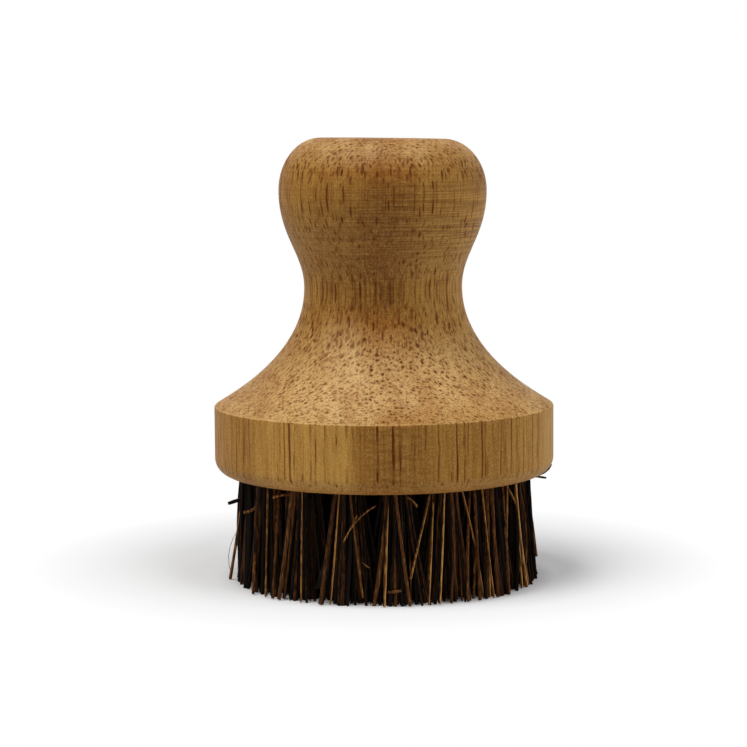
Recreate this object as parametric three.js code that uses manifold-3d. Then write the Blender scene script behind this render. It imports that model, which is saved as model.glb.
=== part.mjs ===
// A turned palm brush for sweeping out ash. One block of hardwood makes the base, the flare, the
// waist and the knob. Tufts of stiff palm fibre stand in rings of blind holes in its underside, each
// tuft folded over a wire staple that is driven into the wood at the end of its hole.
//
// Millimetres, +Z up. The origin is on the brush's axis, on the plane that the fibre tips stand on.

import * as THREE from "three";
import {
  mergeGeometries,
  mergeVertices,
  toCreasedNormals,
} from "three/addons/utils/BufferGeometryUtils.js";
import Module from "manifold-3d";

// Handle, from the underside of the base upwards
const BASE_DIAMETER = 75;
const BASE_EDGE_RADIUS = 3.6; // rounded lower edge of the base
const BAND_HEIGHT = 14.4; // upright band round the base, up to the arris
const ARRIS_RADIUS = 1.2; // eased corner between the band and the flare
const FLARE_ANGLE = THREE.MathUtils.degToRad(35); // slope of the flare at the arris
const FLARE_RISE = 26.6; // from the arris to the waist
const FLARE_RIM_PULL = 5; // how far the flare's curve holds its slope at the arris
const FLARE_WAIST_PULL = 14.4; // and how far it hangs upright below the waist
const WAIST_DIAMETER = 34.8;
const SHOULDER_RISE = 21.2; // from the waist to the widest part of the knob
const SHOULDER_WAIST_PULL = 7.5;
const SHOULDER_KNOB_PULL = 10;
const KNOB_DIAMETER = 45.7;
const CROWN_RISE = 11.6; // from the widest part of the knob to its flat top
const CROWN_RUN = 9.2; // how far the rounded crown draws in to the flat top

// Tuft holes: rings of blind holes, each ring one pitch outside the last
const RINGS = [
  { name: "centre", tufts: 1 },
  { name: "inner", tufts: 6 },
  { name: "middle", tufts: 12 },
  { name: "outer", tufts: 18 },
];
const HOLE_DIAMETER = 6;
const HOLE_DEPTH = 10.4;
const RIM_LAND = 1.6; // wood between the outer holes and the rounded edge
const RING_STAGGER = THREE.MathUtils.degToRad(5); // turn of each ring past the one inside it

// Fibres
const FIBRE_REACH = 23.6; // from the underside of the base to the trimmed tips
const STRANDS_PER_TUFT = 11;
const STRAND_RADIUS = 0.54; // from the middle of a three-sided strand to a corner
const TIP_GAP = 0.4; // least room between the spread tips of two tufts
const TRIM_SHORTFALL = 1.6; // how far the shortest strands miss the trimmed plane
const FACE_SLICE = 2; // slice of the base's face that carries a ring of tufts
const FOLD = 1.6; // thickness of the fibres where they bend over the staple

// Staples
const WIRE = 0.9;
const STAPLE_INSET = 0.8; // from the hole's wall to the outside of a leg
const STAPLE_BITE = 4; // depth that the legs are driven past the end of the hole
const CROWN_CHAMFER = 0.35; // the bends between the staple's crown and its legs

const CLEARANCE = 0.3; // between pieces that seat in or on each other

// Facets
const HANDLE_FACETS = 60;
const SLICE_FACETS = 30;
const HOLE_SIDES = 6;
const STRAND_SIDES = 3;
const CURVE_STEPS = 8; // along the flare, the shoulder and the crown
const EDGE_STEPS = 4;
const ARRIS_STEPS = 3;
const CREASE_ANGLE = THREE.MathUtils.degToRad(30);

// Places that several pieces share, as heights above the underside
const holeRadius = HOLE_DIAMETER / 2;
const baseRadius = BASE_DIAMETER / 2;
const outerRingRadius = baseRadius - BASE_EDGE_RADIUS - RIM_LAND - holeRadius;
const ringPitch = outerRingRadius / (RINGS.length - 1);
const tuftFieldRadius = outerRingRadius + holeRadius + RIM_LAND / 2;
const foldTop = HOLE_DEPTH - CLEARANCE;
const crownTop = foldTop - FOLD - CLEARANCE;
const crownBottom = crownTop - WIRE;
const stapleHalfSpan = holeRadius - STAPLE_INSET;
const legTop = HOLE_DEPTH + STAPLE_BITE;

const GOLDEN_TURN = Math.PI * (3 - Math.sqrt(5));
const GOLDEN_FRACTION = (Math.sqrt(5) - 1) / 2;

const wood = new THREE.MeshStandardMaterial({ color: 0x9c6a35, roughness: 0.5, metalness: 0 });
const palmFibre = new THREE.MeshStandardMaterial({ color: 0x3a2413, roughness: 0.7, metalness: 0 });
const steelWire = new THREE.MeshStandardMaterial({ color: 0xb4b6b8, roughness: 0.35, metalness: 1 });

const wasm = await Module();
wasm.setup();

// A closed geometry, or several that stand apart, as a solid to join and cut.
function solid(...geometries) {
  const bare = geometries.map((geometry) => {
    const open = geometry.index ? geometry.toNonIndexed() : geometry;
    return new THREE.BufferGeometry().setAttribute("position", open.getAttribute("position"));
  });
  const welded = mergeVertices(mergeGeometries(bare));
  const corners = [];
  for (let i = 0; i < welded.index.count; i += 3) {
    const [a, b, c] = welded.index.array.subarray(i, i + 3);
    if (a !== b && b !== c && c !== a) corners.push(a, b, c);
  }
  return new wasm.Manifold(
    new wasm.Mesh({
      numProp: 3,
      vertProperties: welded.getAttribute("position").array,
      triVerts: new Uint32Array(corners),
    }),
  );
}

// A solid as a named mesh, shaded smooth across its gentle edges.
function meshOf(name, made, material) {
  const faces = made.getMesh();
  const geometry = new THREE.BufferGeometry()
    .setAttribute("position", new THREE.BufferAttribute(faces.vertProperties, 3))
    .setIndex(new THREE.BufferAttribute(faces.triVerts, 1));
  const mesh = new THREE.Mesh(toCreasedNormals(geometry, CREASE_ANGLE), material);
  mesh.name = name;
  return mesh;
}

// A profile of (radius, height) points turned round the Z axis.
function turned(points, facets) {
  return new THREE.LatheGeometry(points, facets).rotateX(Math.PI / 2);
}

// An upright prism with a regular outline, between two heights.
function prism(sides, radius, bottom, top) {
  const corners = Array.from({ length: sides }, (_, i) => {
    const angle = (i / sides) * 2 * Math.PI;
    return new THREE.Vector2(radius * Math.cos(angle), radius * Math.sin(angle));
  });
  const outline = new THREE.Shape(corners);
  return new THREE.ExtrudeGeometry(outline, { depth: top - bottom, bevelEnabled: false }).translate(
    0,
    0,
    bottom,
  );
}

// Where each tuft of a ring stands, and the turn that points its staple along the ring.
function tuftPlaces(ring, index) {
  return Array.from({ length: ring.tufts }, (_, i) => {
    const angle = (i / ring.tufts) * 2 * Math.PI + index * RING_STAGGER;
    const radius = index * ringPitch;
    return { x: radius * Math.cos(angle), y: radius * Math.sin(angle), turn: angle + Math.PI / 2 };
  });
}

function placed(geometry, place) {
  return geometry.rotateZ(place.turn).translate(place.x, place.y, 0);
}

// The handle's outline, from the centre of the underside to the centre of the flat top.
function handleProfile() {
  const waistRadius = WAIST_DIAMETER / 2;
  const knobRadius = KNOB_DIAMETER / 2;
  const waistHeight = BAND_HEIGHT + FLARE_RISE;
  const knobHeight = waistHeight + SHOULDER_RISE;
  const flatRadius = knobRadius - CROWN_RUN;
  const edge = new THREE.EllipseCurve(
    baseRadius - BASE_EDGE_RADIUS,
    BASE_EDGE_RADIUS,
    BASE_EDGE_RADIUS,
    BASE_EDGE_RADIUS,
    -Math.PI / 2,
    0,
  );
  const arris = new THREE.EllipseCurve(
    baseRadius - ARRIS_RADIUS,
    BAND_HEIGHT,
    ARRIS_RADIUS,
    ARRIS_RADIUS,
    0,
    Math.PI / 2 - FLARE_ANGLE,
  );
  const flareStart = arris.getPoint(1);
  const rimPull = new THREE.Vector2(-Math.cos(FLARE_ANGLE), Math.sin(FLARE_ANGLE));
  const flare = new THREE.CubicBezierCurve(
    flareStart,
    flareStart.clone().addScaledVector(rimPull, FLARE_RIM_PULL),
    new THREE.Vector2(waistRadius, waistHeight - FLARE_WAIST_PULL),
    new THREE.Vector2(waistRadius, waistHeight),
  );
  const shoulder = new THREE.CubicBezierCurve(
    new THREE.Vector2(waistRadius, waistHeight),
    new THREE.Vector2(waistRadius, waistHeight + SHOULDER_WAIST_PULL),
    new THREE.Vector2(knobRadius, knobHeight - SHOULDER_KNOB_PULL),
    new THREE.Vector2(knobRadius, knobHeight),
  );
  const crown = new THREE.EllipseCurve(
    flatRadius,
    knobHeight,
    CROWN_RUN,
    CROWN_RISE,
    0,
    Math.PI / 2,
  );
  return [
    new THREE.Vector2(0, 0),
    ...edge.getPoints(EDGE_STEPS),
    ...arris.getPoints(ARRIS_STEPS),
    ...flare.getPoints(CURVE_STEPS),
    ...shoulder.getPoints(CURVE_STEPS),
    ...crown.getPoints(CURVE_STEPS),
    new THREE.Vector2(0, knobHeight + CROWN_RISE),
  ];
}

// The turned handle, with a shallow seat for the slices, the blind holes, and the staples' leg slots.
function handle() {
  const seat = [
    new THREE.Vector2(0, -CLEARANCE),
    new THREE.Vector2(tuftFieldRadius, -CLEARANCE),
    new THREE.Vector2(tuftFieldRadius, FACE_SLICE + CLEARANCE),
    new THREE.Vector2(0, FACE_SLICE + CLEARANCE),
  ];
  const places = RINGS.flatMap(tuftPlaces);
  const holes = places.map((place) =>
    placed(prism(HOLE_SIDES, holeRadius, FACE_SLICE, HOLE_DEPTH), place),
  );
  const legSlots = places.map((place) => placed(staple(CLEARANCE), place));
  return solid(turned(handleProfile(), HANDLE_FACETS))
    .subtract(solid(turned(seat, SLICE_FACETS)))
    .subtract(solid(...holes))
    .subtract(solid(...legSlots));
}

// A staple astride the fold, crown down and legs up. It grows all round by a margin to make its room.
function staple(margin = 0, sideMargin = margin) {
  const outside = stapleHalfSpan + sideMargin;
  const inside = stapleHalfSpan - WIRE - margin;
  const bottom = crownBottom - margin;
  const bend = new THREE.Shape()
    .moveTo(outside - CROWN_CHAMFER, bottom)
    .lineTo(outside, bottom + CROWN_CHAMFER)
    .lineTo(outside, legTop + margin)
    .lineTo(inside, legTop + margin)
    .lineTo(inside, crownTop + margin)
    .lineTo(-inside, crownTop + margin)
    .lineTo(-inside, legTop + margin)
    .lineTo(-outside, legTop + margin)
    .lineTo(-outside, bottom + CROWN_CHAMFER)
    .lineTo(-outside + CROWN_CHAMFER, bottom)
    .closePath();
  const depth = WIRE + 2 * margin;
  return new THREE.ExtrudeGeometry(bend, { depth, bevelEnabled: false })
    .translate(0, 0, -depth / 2)
    .rotateX(Math.PI / 2);
}

// One strand: a prism sheared from its root in the slice to its tip, so that the tip is cut level.
function strand(root, tip, tipHeight, turn) {
  const top = FACE_SLICE / 2;
  const length = top - tipHeight;
  const leanX = (root.x - tip.x) / length;
  const leanY = (root.y - tip.y) / length;
  return prism(STRAND_SIDES, STRAND_RADIUS, -length, 0)
    .rotateZ(turn)
    .applyMatrix4(new THREE.Matrix4().makeShear(0, 0, 0, 0, leanX, leanY))
    .translate(root.x, root.y, top);
}

// A tuft's strands, set out on a sunflower spiral that opens evenly from the hole to the tips.
function tuftStrands(place, tuftNumber) {
  const rootSpread = holeRadius - CLEARANCE - STRAND_RADIUS;
  const tipSpread = (ringPitch - TIP_GAP) / 2 - STRAND_RADIUS;
  return Array.from({ length: STRANDS_PER_TUFT }, (_, i) => {
    const reach = Math.sqrt((i + 0.5) / STRANDS_PER_TUFT);
    const angle = i * GOLDEN_TURN + tuftNumber;
    const along = new THREE.Vector2(Math.cos(angle), Math.sin(angle)).multiplyScalar(reach);
    const centre = new THREE.Vector2(place.x, place.y);
    const root = along.clone().multiplyScalar(rootSpread).add(centre);
    const tip = along.clone().multiplyScalar(tipSpread).add(centre);
    const scatter = ((tuftNumber * STRANDS_PER_TUFT + i) * GOLDEN_FRACTION) % 1;
    const shortfall = TRIM_SHORTFALL * Math.max(0, 2 * scatter - 1);
    return strand(root, tip, shortfall - FIBRE_REACH, angle);
  });
}

// A ring of tufts: roots folded over the staples in the holes, strands below, and the slice between.
function tuftRing(ring, index) {
  const inner = Math.max(0, (index - 0.5) * ringPitch + CLEARANCE / 2);
  const last = index === RINGS.length - 1;
  const outer = last ? tuftFieldRadius - CLEARANCE : (index + 0.5) * ringPitch - CLEARANCE / 2;
  const slice = [
    new THREE.Vector2(inner, 0),
    new THREE.Vector2(outer, 0),
    new THREE.Vector2(outer, FACE_SLICE),
    new THREE.Vector2(inner, FACE_SLICE),
    new THREE.Vector2(inner, 0),
  ];
  const places = tuftPlaces(ring, index);
  const firstTuft = RINGS.slice(0, index).reduce((count, { tufts }) => count + tufts, 0);
  const roots = places.map((place) =>
    placed(prism(HOLE_SIDES, holeRadius - CLEARANCE, FACE_SLICE / 2, foldTop), place),
  );
  const stapleRooms = places.map((place) => placed(staple(CLEARANCE, STAPLE_INSET), place));
  const strands = places.flatMap((place, i) => tuftStrands(place, firstTuft + i));
  const rooted = solid(turned(slice, SLICE_FACETS))
    .add(solid(...roots))
    .subtract(solid(...stapleRooms));
  return strands.reduce((made, fibre) => made.add(solid(fibre)), rooted);
}

const brush = new THREE.Group();
brush.position.z = FIBRE_REACH;
brush.add(meshOf("handle", handle(), wood));
RINGS.forEach((ring, index) => {
  const name = ring.tufts === 1 ? `${ring.name}_tuft` : `${ring.name}_tuft_ring`;
  brush.add(meshOf(name, tuftRing(ring, index), palmFibre));
  tuftPlaces(ring, index).forEach((place, i) => {
    const wire = meshOf(`${ring.name}_staple_${i + 1}`, solid(staple()), steelWire);
    wire.position.set(place.x, place.y, 0);
    wire.rotation.z = place.turn;
    brush.add(wire);
  });
});

export default new THREE.Group().add(brush);
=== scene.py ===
# %% [markdown]
# # A turned ash brush
# This lesson dresses a small hearth brush: a knob handle turned from one block of hardwood, and rings
# of stiff palm-fibre tufts set into its underside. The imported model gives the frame, so every piece
# below is placed in metres, +Z up, with the fibre tips standing on z = 0.

# %% Load the frame
import math
from types import SimpleNamespace

import bmesh
import bpy
import numpy as np
from mathutils import Matrix, Vector
from mathutils.geometry import delaunay_2d_cdt


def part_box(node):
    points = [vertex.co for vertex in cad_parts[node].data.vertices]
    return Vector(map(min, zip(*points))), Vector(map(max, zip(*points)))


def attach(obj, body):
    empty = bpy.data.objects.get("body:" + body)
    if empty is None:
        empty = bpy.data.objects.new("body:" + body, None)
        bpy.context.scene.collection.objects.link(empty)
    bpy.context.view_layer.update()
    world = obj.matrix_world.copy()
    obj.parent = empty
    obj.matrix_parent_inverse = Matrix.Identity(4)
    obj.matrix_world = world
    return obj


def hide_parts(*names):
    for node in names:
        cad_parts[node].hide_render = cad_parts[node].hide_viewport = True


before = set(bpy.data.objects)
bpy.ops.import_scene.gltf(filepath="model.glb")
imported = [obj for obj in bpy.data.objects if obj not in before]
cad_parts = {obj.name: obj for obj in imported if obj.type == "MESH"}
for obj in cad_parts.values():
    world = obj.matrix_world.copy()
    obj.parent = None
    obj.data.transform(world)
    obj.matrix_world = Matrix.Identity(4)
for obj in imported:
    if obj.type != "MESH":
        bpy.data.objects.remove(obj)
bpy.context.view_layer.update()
MM = 0.001

# %% [markdown]
# ## Measures of the handle
# The handle is a solid of revolution, so a few diameters and rises describe it. The base, the
# underside and the top come from the frame. The waist, the knob and the pulls of the two long curves
# are the turner's own measures, in millimetres above the underside.

# %% Measures
handle_low, handle_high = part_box("handle")
UNDERSIDE = handle_low.z
TOP = handle_high.z
BASE_RADIUS = (handle_high.x - handle_low.x) / 2
EDGE_RADIUS = 3.6 * MM
BAND_HEIGHT = 14.65 * MM
ARRIS_RADIUS = 0.6 * MM
FLARE_ANGLE = math.radians(31.8)
FLARE_RISE = 26.35 * MM
FLARE_RIM_PULL = 5.0 * MM
FLARE_WAIST_PULL = 14.4 * MM
WAIST_RADIUS = 17.4 * MM
SHOULDER_RISE = 21.2 * MM
SHOULDER_WAIST_PULL = 7.5 * MM
SHOULDER_KNOB_PULL = 10.0 * MM
KNOB_RADIUS = 22.85 * MM
CROWN_RUN = 9.2 * MM
WAIST_HEIGHT = UNDERSIDE + BAND_HEIGHT + FLARE_RISE
KNOB_HEIGHT = WAIST_HEIGHT + SHOULDER_RISE
FLAT_RADIUS = KNOB_RADIUS - CROWN_RUN
ARRIS_HEIGHT = UNDERSIDE + BAND_HEIGHT
TOP_SLANT = 0.016
print("base radius", round(BASE_RADIUS / MM, 2), "mm, underside at", round(UNDERSIDE / MM, 2), "mm")

# %% [markdown]
# ## Where the tufts stand
# One tuft stands on the axis and three rings of 6, 12 and 18 stand round it, one pitch apart. Each
# ring is turned a little past the one inside it, so that no view finds a clear lane between tufts.

# %% Tuft places
RING_NAMES = ("centre_tuft", "inner_tuft_ring", "middle_tuft_ring", "outer_tuft_ring")
RING_TUFTS = (1, 6, 12, 18)
RING_STAGGER = math.radians(5)
RIM_LAND = 1.6 * MM
HOLE_RADIUS = 3.0 * MM
HOLE_DEPTH = 10.4 * MM
OUTER_RING = BASE_RADIUS - EDGE_RADIUS - RIM_LAND - HOLE_RADIUS
RING_PITCH = OUTER_RING / (len(RING_TUFTS) - 1)


def ring_places(ring):
    """The tuft centres of a ring: equal steps of angle on a circle of so many pitches."""
    angle = np.arange(RING_TUFTS[ring]) / RING_TUFTS[ring] * math.tau + ring * RING_STAGGER
    return ring * RING_PITCH * np.stack([np.cos(angle), np.sin(angle)], axis=1)


tuft_places = [ring_places(ring) for ring in range(len(RING_TUFTS))]
print("tufts:", sum(len(places) for places in tuft_places), "pitch", round(RING_PITCH / MM, 2), "mm")

# %% [markdown]
# ## Helpers for meshes
# Every new piece is an array of points and an array of faces. A grid of points that closes on itself
# in one direction is the common case: a turned surface and a strand are both such tubes.


# %% Mesh helpers
def tube_faces(rings, sides):
    """Quads between neighbouring rings of points, with the last side joined to the first."""
    ring, side = np.meshgrid(np.arange(rings - 1), np.arange(sides), indexing="ij")
    after = (side + 1) % sides
    quads = [ring * sides + side, ring * sides + after, (ring + 1) * sides + after, (ring + 1) * sides + side]
    return np.stack(quads, axis=-1).reshape(-1, 4)


def make_piece(name, points, faces, nodes, slot_name):
    """A mesh object at the origin that rides on the body and stands for the nodes."""
    mesh = bpy.data.meshes.new(name)
    mesh.from_pydata(points.tolist(), [], faces)
    piece = bpy.data.objects.new(name, mesh)
    bpy.context.collection.objects.link(piece)
    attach(piece, "root")
    if nodes:
        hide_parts(*nodes)
    return piece


def store(piece, name, values):
    """A number at each point of a piece, which a material can read."""
    attribute = piece.data.attributes.new(name, "FLOAT", "POINT")
    attribute.data.foreach_set("value", np.ascontiguousarray(values, dtype=np.float32).ravel())


# %% [markdown]
# ## The turned outline
# On the lathe the outline is cut in one pass after another: a rounded lower edge, an upright band, a
# crisp arris, a hollow flare, a waist, and a shoulder that rolls over into a flat-topped knob. Arcs
# make the edge, the arris and the crown. Two Bezier curves make the flare and the shoulder, because
# their end slopes are what the eye reads.

# %% Arcs and curves
EDGE_STEPS = 13
ARRIS_STEPS = 9
BAND_STEPS = 8
FLARE_STEPS = 64
SHOULDER_STEPS = 56
CROWN_STEPS = 36
FLAT_STEPS = 12
FAN_RADIUS = 0.4 * MM


def arc(centre, radii, start, end, steps):
    """Points of an ellipse's arc: the centre plus the radii times the cosine and sine of the angle."""
    angle = np.linspace(start, end, steps)
    return np.stack([centre[0] + radii[0] * np.cos(angle), centre[1] + radii[1] * np.sin(angle)], axis=1)


def bezier(corners, steps):
    """Points of a cubic Bezier: the four corners weighted by the Bernstein polynomials."""
    t = np.linspace(0, 1, steps)[:, None]
    weights = np.concatenate([(1 - t) ** 3, 3 * t * (1 - t) ** 2, 3 * t**2 * (1 - t), t**3], axis=1)
    return weights @ np.array(corners)


# %% Outline of the handle
def handle_outline():
    """(radius, height) from the flat underside's rim up to the small fan in the middle of the flat top."""
    edge_centre = (BASE_RADIUS - EDGE_RADIUS, UNDERSIDE + EDGE_RADIUS)
    edge = arc(edge_centre, (EDGE_RADIUS, EDGE_RADIUS), -math.pi / 2, 0, EDGE_STEPS)
    arris_centre = (BASE_RADIUS - ARRIS_RADIUS, ARRIS_HEIGHT)
    arris = arc(arris_centre, (ARRIS_RADIUS, ARRIS_RADIUS), 0, math.pi / 2 - FLARE_ANGLE, ARRIS_STEPS)
    band = np.linspace(edge[-1], arris[0], BAND_STEPS)[1:-1]
    slope = np.array([-math.cos(FLARE_ANGLE), math.sin(FLARE_ANGLE)])
    waist = np.array([WAIST_RADIUS, WAIST_HEIGHT])
    knob = np.array([KNOB_RADIUS, KNOB_HEIGHT])
    up = np.array([0.0, 1.0])
    flare_pulls = [arris[-1] + FLARE_RIM_PULL * slope, waist - FLARE_WAIST_PULL * up]
    flare = bezier([arris[-1], *flare_pulls, waist], FLARE_STEPS)
    shoulder_pulls = [waist + SHOULDER_WAIST_PULL * up, knob - SHOULDER_KNOB_PULL * up]
    shoulder = bezier([waist, *shoulder_pulls, knob], SHOULDER_STEPS)
    crown = arc((FLAT_RADIUS, KNOB_HEIGHT), (CROWN_RUN, TOP - KNOB_HEIGHT), 0, math.pi / 2, CROWN_STEPS)
    flat = np.linspace((FLAT_RADIUS, TOP), (FAN_RADIUS, TOP), FLAT_STEPS)
    return np.concatenate([edge, band, arris, flare[1:], shoulder[1:], crown[1:], flat[1:]])


outline = handle_outline()
print("outline:", len(outline), "points, widest", round(outline[:, 0].max() / MM, 2), "mm")

# %% [markdown]
# ## The handle
# Turning is a product of two parameters: a point of the outline and an angle. The underside needs more
# care, because it is drilled. A constrained Delaunay triangulation fills the flat face between its rim
# and the mouths of the holes, and a small tube with a chamfered mouth makes each blind hole.

# %% Turn the outline
TURN_STEPS = 240
HOLE_STEPS = 24
MOUTH_CHAMFER = 0.25 * MM
FILL_TOLERANCE = 1e-7
MERGE_DISTANCE = 1e-6
HANDLE_SHARP = math.radians(40)


def circle(radius, steps):
    """Points at equal angles on a circle about the axis."""
    angle = np.arange(steps) / steps * math.tau
    return radius * np.stack([np.cos(angle), np.sin(angle)], axis=1)


def turned(profile):
    """Each outline point carried round the axis, with a fan that closes the top.

    The top was sanded a little out of square, so the crown falls by a slant times the distance from its
    left edge, from nothing at the widest part of the knob to the full amount at the top.
    """
    ring = circle(1.0, TURN_STEPS)
    points = np.empty((len(profile), TURN_STEPS, 3))
    points[..., :2] = profile[:, None, :1] * ring[None]
    share = np.clip((profile[:, 1:] - KNOB_HEIGHT) / (TOP - KNOB_HEIGHT), 0, 1)
    points[..., 2] = profile[:, 1:] - share * TOP_SLANT * np.clip(points[..., 0] + FLAT_RADIUS, 0, None)
    faces = tube_faces(len(profile), TURN_STEPS).tolist()
    faces.append(np.arange((len(profile) - 1) * TURN_STEPS, len(profile) * TURN_STEPS).tolist())
    return points.reshape(-1, 3), faces


# %% Drill the underside
def drilled_face(places):
    """The flat underside: a Delaunay filling of the rim's circle, less what lies in a hole's mouth."""
    mouth = HOLE_RADIUS + MOUTH_CHAMFER
    rim = circle(outline[0, 0], TURN_STEPS)
    mouths = (places[:, None] + circle(mouth, HOLE_STEPS)[None]).reshape(-1, 2)
    flat = np.concatenate([rim, mouths])
    filled = delaunay_2d_cdt([Vector(p) for p in flat], [], [], 0, FILL_TOLERANCE)
    corners = np.array([tuple(p) for p in filled[0]])
    faces = np.array(filled[2])
    middles = corners[faces].mean(axis=1)
    nearest = np.linalg.norm(middles[:, None] - places[None], axis=2).min(axis=1)
    kept = faces[nearest > mouth * math.cos(math.pi / HOLE_STEPS)]
    points = np.column_stack([corners, np.full(len(corners), UNDERSIDE)])
    return points, kept[:, ::-1].tolist()


def hole(place):
    """A blind hole as a tube of three rings: the chamfered mouth, the top of the wall and the closed end."""
    radii = np.array([HOLE_RADIUS + MOUTH_CHAMFER, HOLE_RADIUS, HOLE_RADIUS])
    heights = UNDERSIDE + np.array([0, MOUTH_CHAMFER, HOLE_DEPTH])
    points = np.empty((3, HOLE_STEPS, 3))
    points[..., :2] = place + radii[:, None, None] * circle(1.0, HOLE_STEPS)[None]
    points[..., 2] = heights[:, None]
    faces = tube_faces(3, HOLE_STEPS).tolist()
    faces.append(np.arange(2 * HOLE_STEPS, 3 * HOLE_STEPS).tolist())
    return points.reshape(-1, 3), faces


def joined(parts):
    """Several point and face lists as one, with each face's corners moved past the points before it."""
    points, faces, count = [], [], 0
    for part_points, part_faces in parts:
        points.append(part_points)
        faces += [[corner + count for corner in face] for face in part_faces]
        count += len(part_points)
    return np.concatenate(points), faces


# %% Make the handle
all_places = np.concatenate(tuft_places)
handle_parts = [turned(outline), drilled_face(all_places)] + [hole(place) for place in all_places]
handle = make_piece("turned_handle", *joined(handle_parts), ["handle"], "turned_wood")
handle_bmesh = bmesh.new()
handle_bmesh.from_mesh(handle.data)
bmesh.ops.remove_doubles(handle_bmesh, verts=handle_bmesh.verts, dist=MERGE_DISTANCE)
bmesh.ops.recalc_face_normals(handle_bmesh, faces=handle_bmesh.faces)
open_edges = sum(not edge.is_manifold for edge in handle_bmesh.edges)
handle_bmesh.to_mesh(handle.data)
handle_bmesh.free()
handle.data.shade_smooth()
handle.data.set_sharp_from_angle(angle=HANDLE_SHARP)
print("handle:", len(handle.data.polygons), "faces,", open_edges, "open edges")

# %% Mark the arris for a painted highlight
ARRIS_INSET = 0.25 * ARRIS_RADIUS
ARRIS_LIFT = 0.66 * ARRIS_RADIUS
ARRIS_HIGHLIGHT_REACH = 0.45 * ARRIS_RADIUS
corner_points = np.empty(3 * len(handle.data.vertices))
handle.data.vertices.foreach_get("co", corner_points)
corner_points = corner_points.reshape(-1, 3)
around = np.hypot(corner_points[:, 0], corner_points[:, 1]) - (BASE_RADIUS - ARRIS_INSET)
from_arris = np.hypot(around, corner_points[:, 2] - (ARRIS_HEIGHT + ARRIS_LIFT))
# The pale line along the arris is a painted highlight: 1 at the edge, falling to 0 at the reach.
arris_highlight = np.clip(1 - from_arris / ARRIS_HIGHLIGHT_REACH, 0, 1)
store(handle, "arris", arris_highlight)
print("worn arris:", np.count_nonzero(arris_highlight), "points")

# %% [markdown]
# ## The fibre tufts
# Each tuft is a bundle of split palm fibres pushed into a hole, so its strands start close together and
# fan out towards the tips, where the whole brush is trimmed level. A strand is a five-sided tube along a
# gently bent path. All strands of a ring of tufts are worked out together, as arrays of strand, ring of
# points and side.

# %% Fibre measures
STRANDS_PER_TUFT = 74
STRAND_RINGS = 6
STRAND_SIDES = 5
STRAND_RADIUS = 0.31 * MM
STRAND_RADIUS_SPREAD = 0.11 * MM
ROOT_DEPTH = 5.0 * MM
TIP_SPREAD = 6.7 * MM
TIP_DRIFT = 1.2 * MM
TIP_REACH = 33.1 * MM
TIP_PUSH = (0.45 * MM, -1.7 * MM)
TRIM_UNEVEN = 0.10 * MM
BROKEN_SHARE = 0.05
SPREAD_RANGE = (0.85, 1.1)
REACH_RANGE = (0.975, 1.0)
BROKEN_RANGE = (0.1, 0.5)
RADIUS_RANGE = (0.17 * MM, 0.55 * MM)
PATH_BOW = 0.45 * MM
FAN_POWER = 1.25
TONE_RANGE = 0.88
# How much paler the strands grow towards the right, as painted light on that side.
LIT_SIDE_TONE = 0.12
SWELL = 0.12
SWELL_STEP = 1.7
SWELL_TURN = 40
FLATTEST = 0.7
SIDE_GUIDE = np.array([0.31, 0.95, 0.05])
FIBRE_SHARP = math.radians(75)
GOLDEN_ANGLE = math.pi * (3 - math.sqrt(5))
print("strand:", round(2 * STRAND_RADIUS / MM, 2), "mm thick")


# %% Strands as tubes
def strand_tubes(paths, radii, tones, trimmed):
    """Tubes along many paths at once.

    Each ring is a circle of the strand's radius in the plane across the path, a little flattened, and the
    radius swells and shrinks by a sine. The last ring of trimmed strands is levelled, because the shears
    cut them all in one plane.
    """
    count, rings, _ = paths.shape
    along = np.gradient(paths, axis=1)
    along /= np.linalg.norm(along, axis=2, keepdims=True)
    side = np.cross(along, SIDE_GUIDE)
    side /= np.linalg.norm(side, axis=2, keepdims=True)
    front = np.cross(along, side)
    angle = np.arange(STRAND_SIDES) / STRAND_SIDES * math.tau + tones[:, None] * math.tau
    swell = 1 + SWELL * np.sin(np.arange(rings)[None] * SWELL_STEP + tones[:, None] * SWELL_TURN)
    across = (radii[:, None] * swell)[..., None, None]
    flat = FLATTEST + (1 - FLATTEST) * tones[:, None, None, None]
    sideways = np.cos(angle)[:, None, :, None] * side[:, :, None]
    forwards = flat * np.sin(angle)[:, None, :, None] * front[:, :, None]
    ring_points = paths[:, :, None] + across * (sideways + forwards)
    if trimmed:
        ring_points[:, -1, :, 2] = paths[:, -1, None, 2]
    per_strand = rings * STRAND_SIDES
    quads = tube_faces(rings, STRAND_SIDES)
    faces = (quads[None] + (np.arange(count) * per_strand)[:, None, None]).reshape(-1, 4).tolist()
    root = np.arange(STRAND_SIDES)
    tip = root[::-1] + per_strand - STRAND_SIDES
    starts = (np.arange(count) * per_strand)[:, None]
    faces += (root[None] + starts).tolist() + (tip[None] + starts).tolist()
    return ring_points.reshape(-1, 3), faces


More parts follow.
